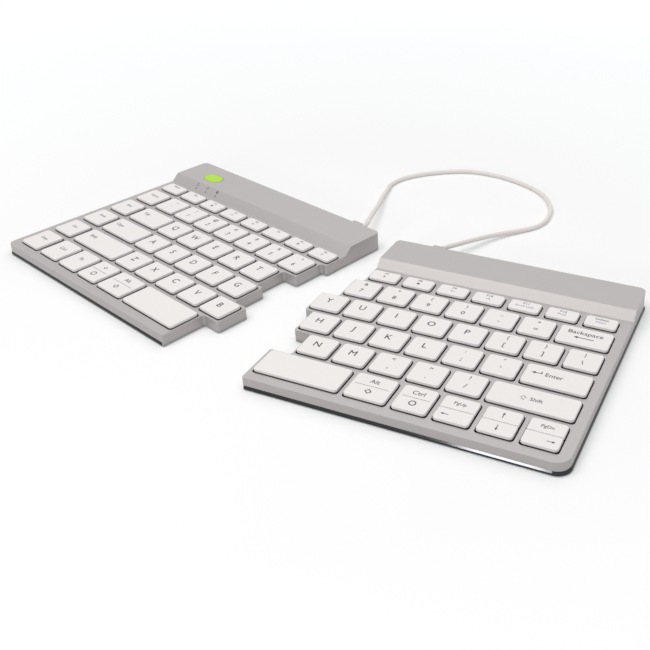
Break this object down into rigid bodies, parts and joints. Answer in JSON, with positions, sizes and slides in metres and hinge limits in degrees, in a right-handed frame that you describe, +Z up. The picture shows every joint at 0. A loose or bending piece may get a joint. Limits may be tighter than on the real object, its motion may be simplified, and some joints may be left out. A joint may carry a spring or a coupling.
{
  "type": "ergonomic split keyboard",
  "caption": "Flat two-part keyboard with stepped inner edges, low white keys in a silver case, raised rear bars and one cord between the halves.",
  "frame": {"origin": "middle of the footprint of both halves as placed in the picture, on the table, without the cord", "axes": "+X to the right along the right half's key rows, +Y away from the typist, +Z up"},
  "size_m": [0.3531, 0.2752, 0.0114],
  "materials": {
    "case_silver": "satin silver paint",
    "base_dark": "polished",
    "plate_steel": "blackened sheet",
    "dome_rubber": "matt",
    "link_plastic": "matt",
    "board_green": "solder mask",
    "foot_rubber": "matt",
    "screw_steel": "zinc",
    "cord_jacket": "soft matt",
    "battery_wrap": "foil",
    "socket_steel": "plain",
    "switch_black": "matt",
    "lens_green": "clear green",
    "keycap_white": "fine matt"
  },
  "bodies": {
    "right_half": {"right_top_case": "case_silver", "right_base_plate": "base_dark", "right_key_plate": "plate_steel", "right_dome_sheet": "dome_rubber", "right_scissor_links": "link_plastic", "right_circuit_board": "board_green", "right_feet": "foot_rubber", "right_case_screws": "screw_steel", "right_cord_gland": "cord_jacket", "link_cord": "cord_jacket"},
    "left_half": {"left_top_case": "case_silver", "left_base_plate": "base_dark", "left_key_plate": "plate_steel", "left_dome_sheet": "dome_rubber", "left_scissor_links": "link_plastic", "left_circuit_board": "board_green", "left_feet": "foot_rubber", "left_case_screws": "screw_steel", "left_cord_gland": "cord_jacket", "battery": "battery_wrap", "charge_socket": "socket_steel", "indicator_lens": "lens_green"},
    "left_space_bar": {"left_space_bar": "keycap_white"},
    "left_function_keys": {"left_function_keys": "keycap_white"},
    "left_number_keys": {"left_number_keys": "keycap_white"},
    "left_modifier_keys": {"left_modifier_keys": "keycap_white"},
    "right_space_bar": {"right_space_bar": "keycap_white"},
    "right_function_keys": {"right_function_keys": "keycap_white"},
    "right_number_keys": {"right_number_keys": "keycap_white"},
    "right_symbol_keys": {"right_symbol_keys": "keycap_white"},
    "right_modifier_keys": {"right_modifier_keys": "keycap_white"},
    "arrow_keys": {"arrow_keys": "keycap_white"},
    "key_q": {"key_q": "keycap_white"},
    "key_w": {"key_w": "keycap_white"},
    "key_e": {"key_e": "keycap_white"},
    "key_r": {"key_r": "keycap_white"},
    "key_t": {"key_t": "keycap_white"},
    "key_a": {"key_a": "keycap_white"},
    "key_s": {"key_s": "keycap_white"},
    "key_d": {"key_d": "keycap_white"},
    "key_f": {"key_f": "keycap_white"},
    "key_g": {"key_g": "keycap_white"},
    "key_z": {"key_z": "keycap_white"},
    "key_x": {"key_x": "keycap_white"},
    "key_c": {"key_c": "keycap_white"},
    "key_v": {"key_v": "keycap_white"},
    "key_b": {"key_b": "keycap_white"},
    "key_y": {"key_y": "keycap_white"},
    "key_u": {"key_u": "keycap_white"},
    "key_i": {"key_i": "keycap_white"},
    "key_o": {"key_o": "keycap_white"},
    "key_p": {"key_p": "keycap_white"},
    "key_h": {"key_h": "keycap_white"},
    "key_j": {"key_j": "keycap_white"},
    "key_k": {"key_k": "keycap_white"},
    "key_l": {"key_l": "keycap_white"},
    "key_n": {"key_n": "keycap_white"},
    "key_m": {"key_m": "keycap_white"},
    "power_switch": {"power_switch": "switch_black"}
  },
  "joints": [
    {"name": "left_half_turn", "type": "hinge", "parent": "right_half", "child": "left_half", "pos_m": [0.00446, 0.06101, 0], "axis": [0, 0, 1], "range_deg": [-15, 14], "deforming": ["link_cord"]},
    {"name": "left_space_bar_press", "type": "slide", "parent": "left_half", "child": "left_space_bar", "axis": [0, 0, -1], "range_m": [0, 0.0016], "stiffness_N_per_m": 230, "springref_m": -0.0008, "deforming": ["left_dome_sheet", "left_scissor_links"]},
    {"name": "left_function_keys_press", "type": "slide", "parent": "left_half", "child": "left_function_keys", "axis": [0, 0, -1], "range_m": [0, 0.0016], "stiffness_N_per_m": 1840, "springref_m": -0.0008, "deforming": ["left_dome_sheet", "left_scissor_links"]},
    {"name": "left_number_keys_press", "type": "slide", "parent": "left_half", "child": "left_number_keys", "axis": [0, 0, -1], "range_m": [0, 0.0016], "stiffness_N_per_m": 1610, "springref_m": -0.0008, "deforming": ["left_dome_sheet", "left_scissor_links"]},
    {"name": "left_modifier_keys_press", "type": "slide", "parent": "left_half", "child": "left_modifier_keys", "axis": [0, 0, -1], "range_m": [0, 0.0016], "stiffness_N_per_m": 2760, "springref_m": -0.0008, "deforming": ["left_dome_sheet", "left_scissor_links"]},
    {"name": "right_space_bar_press", "type": "slide", "parent": "right_half", "child": "right_space_bar", "axis": [0, 0, -1], "range_m": [0, 0.0016], "stiffness_N_per_m": 230, "springref_m": -0.0008, "deforming": ["right_dome_sheet", "right_scissor_links"]},
    {"name": "right_function_keys_press", "type": "slide", "parent": "right_half", "child": "right_function_keys", "axis": [0, 0, -1], "range_m": [0, 0.0016], "stiffness_N_per_m": 1610, "springref_m": -0.0008, "deforming": ["right_dome_sheet", "right_scissor_links"]},
    {"name": "right_number_keys_press", "type": "slide", "parent": "right_half", "child": "right_number_keys", "axis": [0, 0, -1], "range_m": [0, 0.0016], "stiffness_N_per_m": 1380, "springref_m": -0.0008, "deforming": ["right_dome_sheet", "right_scissor_links"]},
    {"name": "right_symbol_keys_press", "type": "slide", "parent": "right_half", "child": "right_symbol_keys", "axis": [0, 0, -1], "range_m": [0, 0.0016], "stiffness_N_per_m": 1840, "springref_m": -0.0008, "deforming": ["right_dome_sheet", "right_scissor_links"]},
    {"name": "right_modifier_keys_press", "type": "slide", "parent": "right_half", "child": "right_modifier_keys", "axis": [0, 0, -1], "range_m": [0, 0.0016], "stiffness_N_per_m": 1150, "springref_m": -0.0008, "deforming": ["right_dome_sheet", "right_scissor_links"]},
    {"name": "arrow_keys_press", "type": "slide", "parent": "right_half", "child": "arrow_keys", "axis": [0, 0, -1], "range_m": [0, 0.0016], "stiffness_N_per_m": 1380, "springref_m": -0.0008, "deforming": ["right_dome_sheet", "right_scissor_links"]},
    {"name": "key_q_press", "type": "slide", "parent": "left_half", "child": "key_q", "axis": [0, 0, -1], "range_m": [0, 0.0016], "stiffness_N_per_m": 230, "springref_m": -0.0008, "deforming": ["left_dome_sheet", "left_scissor_links"]},
    {"name": "key_w_press", "type": "slide", "parent": "left_half", "child": "key_w", "axis": [0, 0, -1], "range_m": [0, 0.0016], "stiffness_N_per_m": 230, "springref_m": -0.0008, "deforming": ["left_dome_sheet", "left_scissor_links"]},
    {"name": "key_e_press", "type": "slide", "parent": "left_half", "child": "key_e", "axis": [0, 0, -1], "range_m": [0, 0.0016], "stiffness_N_per_m": 230, "springref_m": -0.0008, "deforming": ["left_dome_sheet", "left_scissor_links"]},
    {"name": "key_r_press", "type": "slide", "parent": "left_half", "child": "key_r", "axis": [0, 0, -1], "range_m": [0, 0.0016], "stiffness_N_per_m": 230, "springref_m": -0.0008, "deforming": ["left_dome_sheet", "left_scissor_links"]},
    {"name": "key_t_press", "type": "slide", "parent": "left_half", "child": "key_t", "axis": [0, 0, -1], "range_m": [0, 0.0016], "stiffness_N_per_m": 230, "springref_m": -0.0008, "deforming": ["left_dome_sheet", "left_scissor_links"]},
    {"name": "key_a_press", "type": "slide", "parent": "left_half", "child": "key_a", "axis": [0, 0, -1], "range_m": [0, 0.0016], "stiffness_N_per_m": 230, "springref_m": -0.0008, "deforming": ["left_dome_sheet", "left_scissor_links"]},
    {"name": "key_s_press", "type": "slide", "parent": "left_half", "child": "key_s", "axis": [0, 0, -1], "range_m": [0, 0.0016], "stiffness_N_per_m": 230, "springref_m": -0.0008, "deforming": ["left_dome_sheet", "left_scissor_links"]},
    {"name": "key_d_press", "type": "slide", "parent": "left_half", "child": "key_d", "axis": [0, 0, -1], "range_m": [0, 0.0016], "stiffness_N_per_m": 230, "springref_m": -0.0008, "deforming": ["left_dome_sheet", "left_scissor_links"]},
    {"name": "key_f_press", "type": "slide", "parent": "left_half", "child": "key_f", "axis": [0, 0, -1], "range_m": [0, 0.0016], "stiffness_N_per_m": 230, "springref_m": -0.0008, "deforming": ["left_dome_sheet", "left_scissor_links"]},
    {"name": "key_g_press", "type": "slide", "parent": "left_half", "child": "key_g", "axis": [0, 0, -1], "range_m": [0, 0.0016], "stiffness_N_per_m": 230, "springref_m": -0.0008, "deforming": ["left_dome_sheet", "left_scissor_links"]},
    {"name": "key_z_press", "type": "slide", "parent": "left_half", "child": "key_z", "axis": [0, 0, -1], "range_m": [0, 0.0016], "stiffness_N_per_m": 230, "springref_m": -0.0008, "deforming": ["left_dome_sheet", "left_scissor_links"]},
    {"name": "key_x_press", "type": "slide", "parent": "left_half", "child": "key_x", "axis": [0, 0, -1], "range_m": [0, 0.0016], "stiffness_N_per_m": 230, "springref_m": -0.0008, "deforming": ["left_dome_sheet", "left_scissor_links"]},
    {"name": "key_c_press", "type": "slide", "parent": "left_half", "child": "key_c", "axis": [0, 0, -1], "range_m": [0, 0.0016], "stiffness_N_per_m": 230, "springref_m": -0.0008, "deforming": ["left_dome_sheet", "left_scissor_links"]},
    {"name": "key_v_press", "type": "slide", "parent": "left_half", "child": "key_v", "axis": [0, 0, -1], "range_m": [0, 0.0016], "stiffness_N_per_m": 230, "springref_m": -0.0008, "deforming": ["left_dome_sheet", "left_scissor_links"]},
    {"name": "key_b_press", "type": "slide", "parent": "left_half", "child": "key_b", "axis": [0, 0, -1], "range_m": [0, 0.0016], "stiffness_N_per_m": 230, "springref_m": -0.0008, "deforming": ["left_dome_sheet", "left_scissor_links"]},
    {"name": "key_y_press", "type": "slide", "parent": "right_half", "child": "key_y", "axis": [0, 0, -1], "range_m": [0, 0.0016], "stiffness_N_per_m": 230, "springref_m": -0.0008, "deforming": ["right_dome_sheet", "right_scissor_links"]},
    {"name": "key_u_press", "type": "slide", "parent": "right_half", "child": "key_u", "axis": [0, 0, -1], "range_m": [0, 0.0016], "stiffness_N_per_m": 230, "springref_m": -0.0008, "deforming": ["right_dome_sheet", "right_scissor_links"]},
    {"name": "key_i_press", "type": "slide", "parent": "right_half", "child": "key_i", "axis": [0, 0, -1], "range_m": [0, 0.0016], "stiffness_N_per_m": 230, "springref_m": -0.0008, "deforming": ["right_dome_sheet", "right_scissor_links"]},
    {"name": "key_o_press", "type": "slide", "parent": "right_half", "child": "key_o", "axis": [0, 0, -1], "range_m": [0, 0.0016], "stiffness_N_per_m": 230, "springref_m": -0.0008, "deforming": ["right_dome_sheet", "right_scissor_links"]},
    {"name": "key_p_press", "type": "slide", "parent": "right_half", "child": "key_p", "axis": [0, 0, -1], "range_m": [0, 0.0016], "stiffness_N_per_m": 230, "springref_m": -0.0008, "deforming": ["right_dome_sheet", "right_scissor_links"]},
    {"name": "key_h_press", "type": "slide", "parent": "right_half", "child": "key_h", "axis": [0, 0, -1], "range_m": [0, 0.0016], "stiffness_N_per_m": 230, "springref_m": -0.0008, "deforming": ["right_dome_sheet", "right_scissor_links"]},
    {"name": "key_j_press", "type": "slide", "parent": "right_half", "child": "key_j", "axis": [0, 0, -1], "range_m": [0, 0.0016], "stiffness_N_per_m": 230, "springref_m": -0.0008, "deforming": ["right_dome_sheet", "right_scissor_links"]},
    {"name": "key_k_press", "type": "slide", "parent": "right_half", "child": "key_k", "axis": [0, 0, -1], "range_m": [0, 0.0016], "stiffness_N_per_m": 230, "springref_m": -0.0008, "deforming": ["right_dome_sheet", "right_scissor_links"]},
    {"name": "key_l_press", "type": "slide", "parent": "right_half", "child": "key_l", "axis": [0, 0, -1], "range_m": [0, 0.0016], "stiffness_N_per_m": 230, "springref_m": -0.0008, "deforming": ["right_dome_sheet", "right_scissor_links"]},
    {"name": "key_n_press", "type": "slide", "parent": "right_half", "child": "key_n", "axis": [0, 0, -1], "range_m": [0, 0.0016], "stiffness_N_per_m": 230, "springref_m": -0.0008, "deforming": ["right_dome_sheet", "right_scissor_links"]},
    {"name": "key_m_press", "type": "slide", "parent": "right_half", "child": "key_m", "axis": [0, 0, -1], "range_m": [0, 0.0016], "stiffness_N_per_m": 230, "springref_m": -0.0008, "deforming": ["right_dome_sheet", "right_scissor_links"]},
    {"name": "power_switch_slide", "type": "slide", "parent": "left_half", "child": "power_switch", "axis": [0.9542, -0.299, 0], "range_m": [0, 0.002]}
  ]
}
